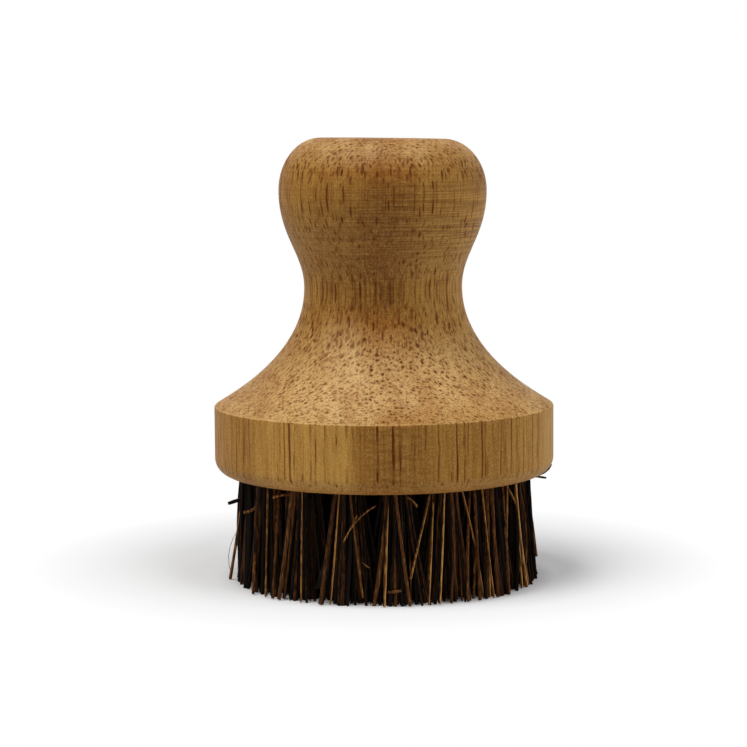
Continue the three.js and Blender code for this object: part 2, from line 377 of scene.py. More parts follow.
# %% Paths of the strands
def tuft_paths(places, rng):
    """Paths of every strand in a ring of tufts.

    Roots lie on a sunflower spiral in the hole. A tip lies in the same direction from the tuft's centre,
    further out, with a random drift, and the path between them bows by a half sine. No tip goes past the
    brush's reach, which is longer on the side that the fibres have been pushed to.
    """
    tufts = len(places)
    number = np.arange(STRANDS_PER_TUFT)
    reach = np.sqrt((number + 0.5) / STRANDS_PER_TUFT)[None] * np.ones((tufts, 1))
    angle = number[None] * GOLDEN_ANGLE + rng.uniform(0, math.tau, (tufts, 1))
    toward = np.stack([np.cos(angle), np.sin(angle)], axis=2) * reach[..., None]
    roots = places[:, None] + toward * (HOLE_RADIUS - STRAND_RADIUS)
    spread = TIP_SPREAD * rng.uniform(*SPREAD_RANGE, (tufts, 1, 1))
    drift = rng.normal(0, TIP_DRIFT, (tufts, STRANDS_PER_TUFT, 2))
    tips = places[:, None] + toward * spread + drift
    far = np.linalg.norm(tips, axis=2, keepdims=True)
    pushed = (tips @ np.array(TIP_PUSH))[..., None] / np.maximum(far, MM)
    limit = (TIP_REACH + pushed) * rng.uniform(*REACH_RANGE, far.shape)
    tips *= np.minimum(1, limit / np.maximum(far, MM))
    trim = np.abs(rng.normal(0, TRIM_UNEVEN, (tufts, STRANDS_PER_TUFT)))
    broken = rng.random((tufts, STRANDS_PER_TUFT)) < BROKEN_SHARE
    trim = np.where(broken, UNDERSIDE * rng.uniform(*BROKEN_RANGE, trim.shape), trim)
    step = np.linspace(0, 1, STRAND_RINGS)
    fall = UNDERSIDE + ROOT_DEPTH - trim
    share = fall / (UNDERSIDE + ROOT_DEPTH)
    fanned = ((step**FAN_POWER)[None, None] * share[..., None])[..., None]
    bow = rng.normal(0, PATH_BOW, (tufts, STRANDS_PER_TUFT, 1, 2))
    bow = bow * np.sin(math.pi * step)[None, None, :, None]
    paths = np.empty((tufts, STRANDS_PER_TUFT, STRAND_RINGS, 3))
    paths[..., :2] = roots[:, :, None] + (tips - roots)[:, :, None] * fanned + bow
    paths[..., 2] = UNDERSIDE + ROOT_DEPTH - fall[..., None] * step
    return paths.reshape(-1, STRAND_RINGS, 3)


# %% Strands as a piece
def fibre_piece(name, paths, radii, tones, nodes):
    """Strands of given widths and tones along the paths, as one piece.

    The skin that splitting leaves on one side of a strand is a 1 at that side's points and a 0 elsewhere.
    Its pale line is also a painted highlight along the strand.
    """
    count = len(paths)
    piece = make_piece(name, *strand_tubes(paths, radii, tones, bool(nodes)), nodes, "palm_fibre")
    per_point = np.ones((count, paths.shape[1], STRAND_SIDES))
    store(piece, "tone", per_point * tones[:, None, None])
    store(piece, "skin", per_point * (np.arange(STRAND_SIDES) == 0))
    piece.data.shade_smooth()
    piece.data.set_sharp_from_angle(angle=FIBRE_SHARP)
    return piece


# %% Set the tufts
rng = np.random.default_rng(5)
fibre_pieces = []
for places, node in zip(tuft_places, RING_NAMES):
    paths = tuft_paths(places, rng)
    radii = np.clip(rng.normal(STRAND_RADIUS, STRAND_RADIUS_SPREAD, len(paths)), *RADIUS_RANGE)
    # Tones grow paler towards the right, as painted light on that side of the brush.
    tones = TONE_RANGE * rng.random(len(paths)) + LIT_SIDE_TONE * paths[:, -1, 0] / TIP_REACH
    fibre_pieces.append(fibre_piece(node.replace("tuft", "fibres"), paths, radii, tones, [node]))
print("strands:", sum(RING_TUFTS) * STRANDS_PER_TUFT)

# %% [markdown]
# ## Stray fibres
# No bundle of split fibre is tidy. A few strands stick out sideways, curl, or lie across the others. Each
# is a quadratic Bezier curve: its start, bend and end, and its radius, in millimetres, and then its tone
# from 0, which is black, to 1, which is golden.

# %% Strays
STRAYS = {
    "left_stub": ((-29.0, -7.0, 19.2), (-31.6, -7.0, 18.6), (-34.4, -7.0, 17.6), 0.42, 0.2),
    "left_curl": ((-26.6, -15.2, 20.2), (-27.4, -17.4, 17.6), (-30.4, -15.4, 17.0), 0.32, 0.9),
    "left_bit": ((-19.4, -24.2, 22.2), (-22.2, -24.6, 22.4), (-23.8, -23.6, 21.5), 0.30, 0.92),
    "left_strand": ((-30.2, -6.6, 23.0), (-32.3, -5.0, 12.0), (-34.3, -4.0, 0.2), 0.38, 0.90),
    "left_hair": ((-32.3, -5.1, 11.6), (-35.7, -4.6, 6.5), (-34.1, -4.0, 1.4), 0.06, 0.7),
    "front_fork": ((-8.9, -31.8, 13.1), (-6.6, -33.4, 18.6), (-1.9, -32.5, 21.1), 0.15, 0.96),
    "front_prong": ((-8.1, -32.0, 14.2), (-7.2, -33.4, 17.0), (-5.8, -33.0, 19.2), 0.12, 0.92),
    "front_chip": ((-4.9, -31.6, 8.8), (-4.1, -33.4, 8.5), (-3.4, -32.7, 7.9), 0.14, 0.94),
    "front_cross": ((0.6, -33.8, 3.0), (2.0, -35.3, 3.3), (3.6, -33.8, 3.3), 0.30, 0.88),
    "front_vee": ((4.6, -31.2, 22.6), (6.2, -32.6, 21.9), (6.6, -32.1, 20.7), 0.24, 0.94),
    "right_fork": ((28.0, -14.6, 24.5), (28.8, -17.8, 13.0), (30.7, -14.6, 0.1), 0.36, 0.93),
    "right_prong": ((26.2, -18.2, 22.8), (27.4, -17.6, 20.6), (28.4, -15.6, 18.2), 0.26, 0.88),
    "rim_fibre": ((31.2, -1.0, 22.4), (36.0, -0.8, 21.9), (37.1, -0.5, 24.9), 0.22, 0.3),
    "rim_bit": ((31.4, -3.6, 22.7), (33.8, -3.2, 22.6), (35.8, -3.0, 22.2), 0.24, 0.82),
    "right_strand": ((30.8, -1.0, 20.0), (31.0, -1.2, 8.0), (33.8, -1.5, 0.3), 0.34, 0.2),
    "right_edge": ((31.0, -3.0, 23.0), (32.6, -3.0, 14.0), (33.7, -3.0, 4.6), 0.32, 0.86),
    "right_inner": ((28.4, -13.6, 24.5), (32.0, -11.0, 14.0), (30.0, -14.9, 0.2), 0.28, 0.82),
}


def stray_paths(corners):
    """Points of each curve: its three corners weighted by (1 - t) squared, 2 t (1 - t) and t squared."""
    t = np.linspace(0, 1, STRAND_RINGS)
    weights = np.stack([(1 - t) ** 2, 2 * t * (1 - t), t**2])
    return np.einsum("krc,rt->ktc", corners, weights)


strays = list(STRAYS.values())
print("strays:", len(strays))

# %% [markdown]
# ## Strands that catch the light
# A few of the outermost strands still carry their brown or golden skin, and the eye goes to them first.
# Each is given by its place across the front below the wood, its place at the tip, its height there and
# its radius, in millimetres, and then its tone.

# %% Front strands
FRONT_STRANDS = {
    "left_edge": (-27.4, -28.4, 0.2, 0.34, 0.80),
    "far_left": (-25.0, -25.6, 0.2, 0.20, 0.92),
    "left_brown": (-22.4, -24.0, 0.2, 0.36, 0.76),
    "left_broad": (-19.6, -22.6, 0.2, 0.42, 0.80),
    "left_thin": (-17.5, -17.9, 0.2, 0.17, 0.95),
    "left_dark": (-11.0, -13.7, 0.2, 0.44, 0.74),
    "left_bright": (-9.5, -11.6, 0.2, 0.17, 1.00),
    "left_lean": (-7.5, -4.7, 2.0, 0.26, 0.84),
    "middle_bright": (0.7, -0.3, 0.1, 0.24, 0.98),
    "middle_lean": (2.0, 5.1, 0.2, 0.36, 0.82),
    "right_lean": (9.2, 5.2, 6.0, 0.22, 0.92),
    "right_bright": (10.3, 9.0, 0.2, 0.17, 0.98),
    "right_thin": (12.6, 11.4, 0.2, 0.19, 1.02),
    "right_brown": (16.6, 17.4, 0.2, 0.36, 0.84),
    "right_red": (18.9, 19.9, 0.2, 0.38, 0.78),
    "far_right": (20.4, 23.0, 0.2, 0.20, 0.92),
    "right_broad": (22.6, 23.9, 0.2, 0.42, 0.80),
    "right_side": (25.2, 26.4, 0.2, 0.40, 0.82),
}
ROOT_REACH = 2.6 * MM
ROOT_ASIDE = 0.9 * ROOT_REACH
ROOT_LIFT = 2 * MM
BEND_ASIDE = 0.4
BEND_DROP = 0.45
BEND_REACH = 33.7 * MM
FRONT_REACH = 35.3 * MM


def front_corners(strands):
    """Start, bend and end of each front strand.

    The start is in the front of the nearest hole, at most the root's reach from its middle. The bend and
    the end lie on circles about the axis, at the depth given by Pythagoras for their place across.
    """
    top, tip, height = np.array([strand[:3] for strand in strands]).T * MM
    front = tuft_places[-1][tuft_places[-1][:, 1] < 0]
    nearest = front[np.abs(front[:, 0] - top[:, None]).argmin(axis=1)]
    aside = np.clip(top - nearest[:, 0], -ROOT_ASIDE, ROOT_ASIDE)
    ahead = nearest[:, 1] - np.sqrt(ROOT_REACH**2 - aside**2)
    start = np.stack([nearest[:, 0] + aside, ahead, np.full(len(top), UNDERSIDE + ROOT_LIFT)], axis=1)
    middle = (1 - BEND_ASIDE) * top + BEND_ASIDE * tip
    bend_height = (1 - BEND_DROP) * UNDERSIDE + BEND_DROP * height
    bend = np.stack([middle, -np.sqrt(BEND_REACH**2 - middle**2), bend_height], axis=1)
    end = np.stack([tip, -np.sqrt(FRONT_REACH**2 - tip**2), height], axis=1)
    return np.stack([start, bend, end], axis=1)


front_strands = list(FRONT_STRANDS.values())
stray_corners = np.array([stray[:3] for stray in strays]) * MM
stray_curves = np.concatenate([stray_corners, front_corners(front_strands)])
stray_radii = np.array([strand[3] for strand in strays + front_strands]) * MM
stray_tones = np.array([strand[4] for strand in strays + front_strands])
fibre_pieces.append(fibre_piece("stray_fibres", stray_paths(stray_curves), stray_radii, stray_tones, []))
print("front strands:", len(front_strands))

# %% [markdown]
# ## Shared effects for materials
# Wood is cut from a solid, so its figure is a pattern in space and not a picture wrapped round a shape.
# The vessels of this wood run along the axis. On the band they show as long lines, and where the flare
# and the crown cut across them they show as short dashes and dots. A cell pattern stretched along Z gives
# all of these at once, whatever surface cuts it.


# %% Node helpers
def link(tree, source, target):
    tree.links.new(source, target)


def add_node(tree, kind, **values):
    """A node with its settings and the values of its named inputs."""
    node = tree.nodes.new(kind)
    for key, value in values.items():
        if hasattr(node, key):
            setattr(node, key, value)
        else:
            node.inputs[key.replace("_", " ")].default_value = value
    return node


def new_group(name, inputs, outputs):
    """An empty shader node group with named number, vector and colour sockets."""
    group = bpy.data.node_groups.new(name, "ShaderNodeTree")
    for socket, kind, value in inputs:
        made = group.interface.new_socket(socket, in_out="INPUT", socket_type=kind)
        if value is not None:
            made.default_value = value
    for socket, kind in outputs:
        group.interface.new_socket(socket, in_out="OUTPUT", socket_type=kind)
    return group, group.nodes.new("NodeGroupInput"), group.nodes.new("NodeGroupOutput")


def math_node(tree, operation, first, second):
    """A sum, product or other operation on two sockets or numbers."""
    node = tree.nodes.new("ShaderNodeMath")
    node.operation = operation
    for socket, value in zip(node.inputs, (first, second)):
        if isinstance(value, (int, float)):
            socket.default_value = value
        else:
            link(tree, value, socket)
    return node.outputs[0]


def mix_colour(tree, factor, first, second):
    """Two colours mixed by a factor; each may be a socket or an (r, g, b) colour."""
    node = tree.nodes.new("ShaderNodeMix")
    node.data_type = "RGBA"
    for socket, value in ((node.inputs[0], factor), (node.inputs[6], first), (node.inputs[7], second)):
        if isinstance(value, tuple):
            socket.default_value = (*value, 1.0)
        elif isinstance(value, (int, float)):
            socket.default_value = value
        else:
            link(tree, value, socket)
    return node.outputs[2]


def span(tree, value, low, high, to_low=0.0, to_high=1.0):
    """A value moved from one range to another, held at the ends."""
    node = add_node(tree, "ShaderNodeMapRange")
    link(tree, value, node.inputs["Value"])
    for key, number in (("From Min", low), ("From Max", high), ("To Min", to_low), ("To Max", to_high)):
        node.inputs[key].default_value = number
    return node.outputs[0]


# %% Vessel lines
def vessel_group():
    """Long tubes along Z: in plan, the distance to the nearest seed of a cell pattern, under a width.

    A cell is as wide, deep and tall as the Cell vector says. Each tube has its own width, a slow noise
    gathers tubes in clusters, and a quicker one lets each come and go along Z. The mask is the open tube,
    and the halo is the stained wood round it.
    """
    group, given, made = new_group(
        "vessels",
        [
            ("Vector", "NodeSocketVector", None),
            ("Cell", "NodeSocketVector", (0.001, 0.001, 0.01)),
            ("Width", "NodeSocketFloat", 0.2),
            ("Offset", "NodeSocketFloat", 0.0),
        ],
        [("Mask", "NodeSocketFloat"), ("Halo", "NodeSocketFloat")],
    )
    scaled = add_node(group, "ShaderNodeVectorMath", operation="DIVIDE")
    link(group, given.outputs["Vector"], scaled.inputs[0])
    link(group, given.outputs["Cell"], scaled.inputs[1])
    moved = add_node(group, "ShaderNodeVectorMath", operation="ADD")
    link(group, scaled.outputs[0], moved.inputs[0])
    link(group, given.outputs["Offset"], moved.inputs[1])
    cells = add_node(group, "ShaderNodeTexVoronoi", voronoi_dimensions="2D", feature="F1", Scale=1.0)
    link(group, moved.outputs[0], cells.inputs["Vector"])
    own = add_node(group, "ShaderNodeSeparateColor")
    link(group, cells.outputs["Color"], own.inputs[0])
    width = math_node(group, "MULTIPLY", given.outputs["Width"], math_node(group, "ADD", own.outputs[1], 0.5))
    share = math_node(group, "DIVIDE", cells.outputs["Distance"], width)
    inside = span(group, share, 0.85, 1.15, 1.0, 0.0)
    stained = span(group, share, 0.8, 2.8, 1.0, 0.0)
    cluster = add_node(group, "ShaderNodeTexNoise", Scale=0.3, Detail=1.0)
    link(group, moved.outputs[0], cluster.inputs["Vector"])
    come = add_node(group, "ShaderNodeTexNoise", Scale=1.0, Detail=0.0)
    link(group, moved.outputs[0], come.inputs["Vector"])
    coming = math_node(group, "MULTIPLY", come.outputs["Fac"], 0.7)
    strength = math_node(group, "ADD", cluster.outputs["Fac"], coming)
    strength = math_node(group, "ADD", strength, math_node(group, "MULTIPLY", own.outputs[0], 0.6))
    there = span(group, strength, 1.0, 1.25)
    link(group, math_node(group, "MULTIPLY", inside, there), made.inputs["Mask"])
    link(group, math_node(group, "MULTIPLY", stained, there), made.inputs["Halo"])
    return group


# %% Streaks along the grain
def streak_group():
    """Noise stretched along Z: the same value for a long way along the grain, quickly changing across it."""
    group, given, made = new_group(
        "grain_streaks",
        [
            ("Vector", "NodeSocketVector", None),
            ("Across", "NodeSocketFloat", 0.001),
            ("Along", "NodeSocketFloat", 0.03),
            ("Detail", "NodeSocketFloat", 3.0),
        ],
        [("Value", "NodeSocketFloat")],
    )
    size = add_node(group, "ShaderNodeCombineXYZ")
    link(group, given.outputs["Across"], size.inputs[0])
    link(group, given.outputs["Across"], size.inputs[1])
    link(group, given.outputs["Along"], size.inputs[2])
    scaled = add_node(group, "ShaderNodeVectorMath", operation="DIVIDE")
    link(group, given.outputs["Vector"], scaled.inputs[0])
    link(group, size.outputs[0], scaled.inputs[1])
    noise = add_node(group, "ShaderNodeTexNoise", Scale=1.0, Roughness=0.55)
    link(group, scaled.outputs[0], noise.inputs["Vector"])
    link(group, given.outputs["Detail"], noise.inputs["Detail"])
    link(group, noise.outputs["Fac"], made.inputs["Value"])
    return group


VESSELS = vessel_group()
STREAKS = streak_group()


def use_group(tree, group, vector, **values):
    """A group node in a material, with its own values or sockets; gives its outputs by name."""
    node = tree.nodes.new("ShaderNodeGroup")
    node.node_tree = group
    link(tree, vector, node.inputs["Vector"])
    for key, value in values.items():
        if isinstance(value, bpy.types.NodeSocket):
            link(tree, value, node.inputs[key])
        else:
            node.inputs[key].default_value = value
    return node.outputs


def streaks_of(tree, vector, across, along, detail):
    """The streak group with the width and the length of its streaks, in metres."""
    return use_group(tree, STREAKS, vector, Across=across, Along=along, Detail=detail)["Value"]


# %% Growth rings
def ring_group():
    """Distance from the pith, a line along Z to the right of the handle, counted in ring widths.

    The phase runs from 0 at the start of a year's ring to 1 at its end, and the shade is one random
    number for each ring.
    """
    group, given, made = new_group(
        "growth_rings",
        [
            ("Vector", "NodeSocketVector", None),
            ("Pith", "NodeSocketVector", (0.0, 0.1, 0.0)),
            ("Width", "NodeSocketFloat", 0.002),
        ],
        [("Phase", "NodeSocketFloat"), ("Shade", "NodeSocketFloat")],
    )
    away = add_node(group, "ShaderNodeVectorMath", operation="SUBTRACT")
    link(group, given.outputs["Vector"], away.inputs[0])
    link(group, given.outputs["Pith"], away.inputs[1])
    level = add_node(group, "ShaderNodeVectorMath", operation="MULTIPLY")
    link(group, away.outputs[0], level.inputs[0])
    level.inputs[1].default_value = (1.0, 1.0, 0.0)
    reach = add_node(group, "ShaderNodeVectorMath", operation="LENGTH")
    link(group, level.outputs[0], reach.inputs[0])
    wander = add_node(group, "ShaderNodeTexNoise", Scale=35.0, Detail=2.0)
    link(group, given.outputs["Vector"], wander.inputs["Vector"])
    count = math_node(group, "DIVIDE", reach.outputs["Value"], given.outputs["Width"])
    count = math_node(group, "ADD", count, math_node(group, "MULTIPLY", wander.outputs["Fac"], 1.6))
    link(group, math_node(group, "FRACT", count, 0.0), made.inputs["Phase"])
    shade = add_node(group, "ShaderNodeTexWhiteNoise", noise_dimensions="1D")
    link(group, math_node(group, "FLOOR", count, 0.0), shade.inputs["W"])
    link(group, shade.outputs["Value"], made.inputs["Shade"])
    return group


GROWTH_RINGS = ring_group()
print("groups:", VESSELS.name, STREAKS.name, GROWTH_RINGS.name)

# %% [markdown]
# ## Oiled hardwood
# The handle is a mid-brown, open-pored hardwood with a hand-rubbed oil finish: satin, with soft
# highlights. A picture of wood would slide over the turned form, so the colour is worked out from each
# point's place in the plank instead. A brown heart, a browner stripe and pale sapwood lie at their own
# depths, and the year rings run from front to back.

# %% Wood colours
WOOD_TAN = (0.40, 0.190, 0.031)
WOOD_HEART = (0.212, 0.076, 0.0115)
WOOD_SAP = (0.62, 0.335, 0.074)
# The pale end grain, laid on more where faces point up, so it is partly painted light.
WOOD_LIT_END_GRAIN = (0.80, 0.515, 0.210)
WOOD_ROSE = (0.44, 0.200, 0.062)
WOOD_RED = (0.29, 0.092, 0.013)
WOOD_AMBER = (0.56, 0.17, 0.018)
# A duller, greyer brown: the floor's reflected light, painted on faces under the knob.
WOOD_BOUNCE_LIGHT = (0.28, 0.185, 0.08)
WOOD_PALE = (0.80, 0.52, 0.22)
# The pale colour of the painted sheen on the flare.
WOOD_SHEEN = (0.90, 0.62, 0.27)
# A pale colour for the grit of cut fibre ends and for the painted highlight on the arris.
WOOD_GRIT_AND_HIGHLIGHT = (0.82, 0.52, 0.19)
VESSEL_BROWN = (0.110, 0.024, 0.004)


# %% Masks and layers
def start_material(name):
    """A new node material, its tree and its Principled shader."""
    material = bpy.data.materials.new(name)
    material.use_nodes = True
    tree = material.node_tree
    return material, tree, tree.nodes["Principled BSDF"]


def product(tree, *factors):
    """Several masks or numbers multiplied together."""
    total = factors[0]
    for factor in factors[1:]:
        total = math_node(tree, "MULTIPLY", total, factor)
    return total


def stripe(tree, value, place, half, fade, within, beyond=0.0):
    """One value up to a half width from a place and another past the fade, with a straight ramp between."""
    offset = math_node(tree, "ABSOLUTE", math_node(tree, "SUBTRACT", value, place), 0.0)
    return span(tree, offset, half, fade, within, beyond)


def painted(tree, colour, layers):
    """A colour with layers put over it in order, each a mask and the colour that it lets in."""
    for mask, over in layers:
        colour = mix_colour(tree, mask, colour, over)
    return colour


# %% Measures of the grain
SWAY_SCALE = 30.0
SWAY_REACH = 3.0 * MM
ROUGH_SCALE = 420.0
ROUGH_REACH = 0.7 * MM
SWAY_STRETCH = (1.0, 1.0, 0.3)
LAYER_STRETCH = (1.0, 0.35, 1.0)
PITH = (140.0 * MM, 30.0 * MM, 0.0)
RING_WIDTH = 2.3 * MM
BROAD = (12.0 * MM, 90.0 * MM, 2.0)
MEDIUM = (2.6 * MM, 50.0 * MM, 3.0)
FINE = (0.4 * MM, 12.0 * MM, 2.0)
SPECKLE = (0.35 * MM, 0.4 * MM, 2.0)
RIPPLE = (3.0 * MM, 0.6 * MM, 1.0)
TURNING = (20.0 * MM, 0.27 * MM, 1.0)
PATCHES = (6.0 * MM, 20.0 * MM, 1.0)


# %% Grain
def swayed(tree, place, scale, reach):
    """Coordinates pushed to either side by a soft noise, slow along Z, so that the grain lines waver."""
    slow = add_node(tree, "ShaderNodeVectorMath", operation="MULTIPLY")
    link(tree, place, slow.inputs[0])
    slow.inputs[1].default_value = SWAY_STRETCH
    noise = add_node(tree, "ShaderNodeTexNoise", Scale=scale, Detail=1.0)
    link(tree, slow.outputs[0], noise.inputs["Vector"])
    centred = add_node(tree, "ShaderNodeVectorMath", operation="SUBTRACT")
    link(tree, noise.outputs["Color"], centred.inputs[0])
    centred.inputs[1].default_value = (0.5, 0.5, 0.5)
    push = add_node(tree, "ShaderNodeVectorMath", operation="MULTIPLY_ADD")
    link(tree, centred.outputs[0], push.inputs[0])
    push.inputs[1].default_value = (reach, reach, 0.0)
    link(tree, place, push.inputs[2])
    return push.outputs[0]


def parts_of(tree, vector):
    """The X, Y and Z of a vector."""
    parts = add_node(tree, "ShaderNodeSeparateXYZ")
    link(tree, vector, parts.inputs[0])
    return parts.outputs


def wood_fields(tree):
    """What the finish is worked out from, by name.

    The grain is the place in the wavering plank, across and height are the point's X and Z, and facing and
    up are the X and Z of the outward normal. The others are year rings and streaks, from broad to fine.
    """
    place = add_node(tree, "ShaderNodeTexCoord").outputs["Object"]
    normal = parts_of(tree, add_node(tree, "ShaderNodeNewGeometry").outputs["Normal"])
    spot = parts_of(tree, place)
    grain = swayed(tree, place, SWAY_SCALE, SWAY_REACH)
    layers = add_node(tree, "ShaderNodeVectorMath", operation="MULTIPLY")
    link(tree, grain, layers.inputs[0])
    layers.inputs[1].default_value = LAYER_STRETCH
    layered = layers.outputs[0]
    return SimpleNamespace(
        grain=grain,
        uneven=swayed(tree, grain, ROUGH_SCALE, ROUGH_REACH),
        across=spot["X"],
        height=spot["Z"],
        facing=normal["X"],
        up=normal["Z"],
        rings=use_group(tree, GROWTH_RINGS, grain, Pith=PITH, Width=RING_WIDTH),
        broad=streaks_of(tree, grain, *BROAD),
        medium=streaks_of(tree, layered, *MEDIUM),
        fine=streaks_of(tree, grain, *FINE),
        speckle=streaks_of(tree, grain, *SPECKLE),
        ripple=streaks_of(tree, place, *RIPPLE),
        turning=streaks_of(tree, place, *TURNING),
        patches=streaks_of(tree, layered, *PATCHES),
    )


# %% [markdown]
# ## The plank
# The turner's block was sawn from a plank with its heart to one side. A direction across the plank gives
# a depth for every point, and each colour belongs to a range of depths. A stripe is written as its place,
# its half width and how far it takes to fade; a range is written as where it starts and where it is full.

# %% Depths in the plank
HEART_SLANT = (1.0, 0.28, 0.0)
HEART_STRIPE = (-6.5 * MM, 2.0 * MM, 11.0 * MM)
HEART_RISE = (49.0 * MM, 61.0 * MM)
SIDE_SLANT = (1.0, 0.0, 0.0)
SIDE_STRIPE = (-28.5 * MM, 1.5 * MM, 4.5 * MM)
SAP_SLANT = (1.0, 1.9, 0.0)
SAP_DEPTH = (-73.5 * MM, -78.5 * MM)
FAR_DEPTH = (-28.0 * MM, 6.0 * MM)
FAR_RISE = (KNOB_HEIGHT - 2 * MM, TOP - 4 * MM)
DEPTH_WANDER = 3.0 * MM


def depth_along(tree, wood, slant):
    """How deep a place lies in the plank: its dot product with a slant, which a broad noise makes wander."""
    depth = add_node(tree, "ShaderNodeVectorMath", operation="DOT_PRODUCT")
    link(tree, wood.grain, depth.inputs[0])
    depth.inputs[1].default_value = slant
    wander = span(tree, wood.broad, 0.3, 0.7, -DEPTH_WANDER, DEPTH_WANDER)
    return math_node(tree, "ADD", depth.outputs["Value"], wander)


def plank_layers(tree, wood):
    """A heart that fades towards the base, a browner stripe on the left, and sapwood in front and behind."""
    wood.heart = stripe(tree, depth_along(tree, wood, HEART_SLANT), *HEART_STRIPE, 0.86)
    in_sap = depth_along(tree, wood, SAP_SLANT)
    far = span(tree, in_sap, *FAR_DEPTH, 0.0, 0.75)
    far = product(tree, far, span(tree, wood.height, *FAR_RISE, 1.0, 0.1))
    return [
        (product(tree, wood.heart, span(tree, wood.height, *HEART_RISE, 0.45, 1.0)), WOOD_HEART),
        (stripe(tree, depth_along(tree, wood, SIDE_SLANT), *SIDE_STRIPE, 0.5), WOOD_HEART),
        (span(tree, in_sap, *SAP_DEPTH, 0.0, 0.9), WOOD_SAP),
        (far, WOOD_SAP),
        (span(tree, wood.medium, 0.5, 0.72, 0.0, 0.3), WOOD_SAP),
        (span(tree, wood.medium, 0.48, 0.3, 0.0, 0.35), WOOD_RED),
    ]


# %% [markdown]
# ## Where the cut crosses the grain
# On the flare and the crown the tool cut across the fibres. The open ends look paler there, and that pale
# is partly painted light: more of it on faces that point up, and painted shade takes it from the level top
# and from faces that point sideways. A painted sheen lies as a bright streak on the flare, beside a rosy
# one. Painted shade browns the crown's top and its two sides, and under the knob a duller colour paints
# the floor's reflected light, with painted shade in the heart. The upward part of the normal tells these
# faces apart.

# %% Leans and heights
CUT_ACROSS = (0.33, 0.78)
SLANTED = (0.1, 0.5)
STEEP_START = (0.12, 0.28)
STEEP_END = (0.66, 0.48)
# Painted shade takes the pale end grain away from the level top.
SHADED_LEVEL_TOP = (0.90, 0.98)
OVERHANG = (-0.05, -0.35)
UNDERNEATH = (-0.35, -0.85)
# Painted shade takes the pale end grain away from faces that point sideways.
SHADED_SIDEWAYS = (0.35, 0.7)
KNOB_TO_CROWN = (KNOB_HEIGHT - 6 * MM, KNOB_HEIGHT + 6 * MM)
# Where the painted sheen lies: a bright streak on the flare, left of the front.
GLEAM_STRIPE = (-9.0 * MM, 2.5 * MM, 5.5 * MM)
GLEAM_LEAN = (0.2, 0.6)
GLEAM_RISE = (WAIST_HEIGHT + 4 * MM, WAIST_HEIGHT)
GLEAM_MOST = 0.7
ROSE_STRIPE = (3.5 * MM, 1.5 * MM, 5.0 * MM)
ROSE_RISE = (ARRIS_HEIGHT + 12 * MM, ARRIS_HEIGHT + 7 * MM)
RIM_RISE = (ARRIS_HEIGHT + 5 * MM, ARRIS_HEIGHT + 1 * MM)
RIM_ACROSS = (-12.0 * MM, 0.0)
# Where painted shade browns the crown: at its top, and on its sides by how far a face points right or left.
TOP_SHADE_RISE = (TOP - 4 * MM, TOP - 1 * MM)
SIDE_SHADE_RISE = (KNOB_HEIGHT - 3 * MM, KNOB_HEIGHT + 2 * MM)
RIGHT_SHADE_FACING = (0.55, 0.9)
LEFT_SHADE_FACING = (-0.55, -0.9)


# %% Cut faces
def mark_leans(tree, wood):
    """Masks by how far a face leans: cut across the grain, slanted at all, and steep but not upright."""
    wood.cut_across = span(tree, wood.up, *CUT_ACROSS)
    wood.slanted = span(tree, wood.up, *SLANTED)
    wood.steep = product(tree, span(tree, wood.up, *STEEP_START), span(tree, wood.up, *STEEP_END))


def end_grain_layers(tree, wood):
    """Pale end grain, partly painted light, with a painted sheen, a rosy streak and a tan rim."""
    sideways = math_node(tree, "ABSOLUTE", wood.facing, 0.0)
    # Pale end grain, partly painted light: paler where a face points up, with painted shade on the level top
    # and on faces that point sideways.
    end_grain_and_light = product(
        tree,
        wood.cut_across,
        span(tree, wood.height, *KNOB_TO_CROWN, 0.8, 0.5),
        span(tree, wood.up, *SHADED_LEVEL_TOP, 1.0, 0.1),
        span(tree, sideways, *SHADED_SIDEWAYS, 1.0, 0.65),
    )
    # A painted sheen: a bright streak on the flare's upward faces, left of the front.
    on_flare = product(tree, span(tree, wood.up, *GLEAM_LEAN), span(tree, wood.height, *GLEAM_RISE))
    wood.gleam = product(tree, stripe(tree, wood.across, *GLEAM_STRIPE, GLEAM_MOST), on_flare)
    low_flare = product(tree, span(tree, wood.height, *ROSE_RISE), wood.cut_across)
    rosy = product(tree, stripe(tree, wood.across, *ROSE_STRIPE, 0.45), low_flare)
    rim = span(tree, wood.height, *RIM_RISE, 0.0, 0.6)
    rim = product(tree, rim, span(tree, wood.across, *RIM_ACROSS, 0.35, 1.0), wood.cut_across)
    return [(end_grain_and_light, WOOD_LIT_END_GRAIN), (wood.gleam, WOOD_SHEEN), (rosy, WOOD_ROSE), (rim, WOOD_TAN)]


def crown_shade_layers(tree, wood):
    """Painted shade in the heart's brown on the crown's top and on its two sides, more on the right."""
    top_shade = span(tree, wood.height, *TOP_SHADE_RISE, 0.0, 0.34)
    right = span(tree, wood.facing, *RIGHT_SHADE_FACING, 0.0, 0.5)
    left = span(tree, wood.facing, *LEFT_SHADE_FACING, 0.0, 0.3)
    side_shade = product(tree, math_node(tree, "ADD", right, left), span(tree, wood.height, *SIDE_SHADE_RISE))
    return [(top_shade, WOOD_HEART), (side_shade, WOOD_HEART)]


def overhang_light_layers(tree, wood):
    """Painted floor bounce on faces that point down, painted shade under the knob, and a redder underside."""
    overhang = span(tree, wood.up, *OVERHANG)
    # Painted reflected light: the white floor's bounce, as a duller, greyer colour, less in the heart.
    painted_bounce = product(tree, overhang, span(tree, wood.heart, 0.0, 1.0, 0.32, 0.12))
    # Painted shade under the knob, in the heart.
    shaded = product(tree, wood.heart, span(tree, wood.height, *HEART_RISE, 0.0, 0.14), overhang)
    return [
        (painted_bounce, WOOD_BOUNCE_LIGHT),
        (shaded, VESSEL_BROWN),
        (span(tree, wood.up, *UNDERNEATH, 0.0, 0.3), WOOD_RED),
    ]


